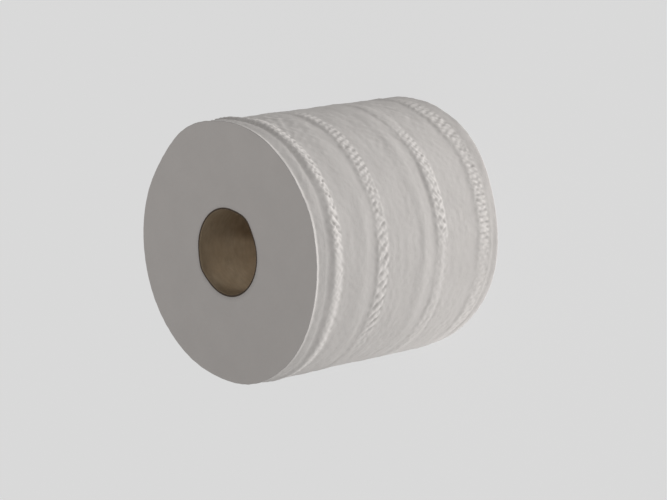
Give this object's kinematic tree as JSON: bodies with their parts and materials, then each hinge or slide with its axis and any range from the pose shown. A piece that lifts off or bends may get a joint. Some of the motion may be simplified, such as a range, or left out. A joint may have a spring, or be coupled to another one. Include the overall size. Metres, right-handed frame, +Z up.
{
  "type": "centre pull paper towel roll",
  "caption": "Wide roll of paper towel on a cardboard core, with a smooth end face and raised crimped bands round its side.",
  "frame": {"origin": "middle of the end that the roll stands on", "axes": "+Z up the roll's axis, towards its upper end; X and Y are free, with the core's broad soft corner between +X and -Y"},
  "size_m": [0.1874, 0.1874, 0.175],
  "materials": {
    "towel_paper": "matte",
    "core_board": "matte"
  },
  "bodies": {
    "root": {"paper_roll": "towel_paper", "cardboard_core": "core_board"}
  },
  "joints": []
}
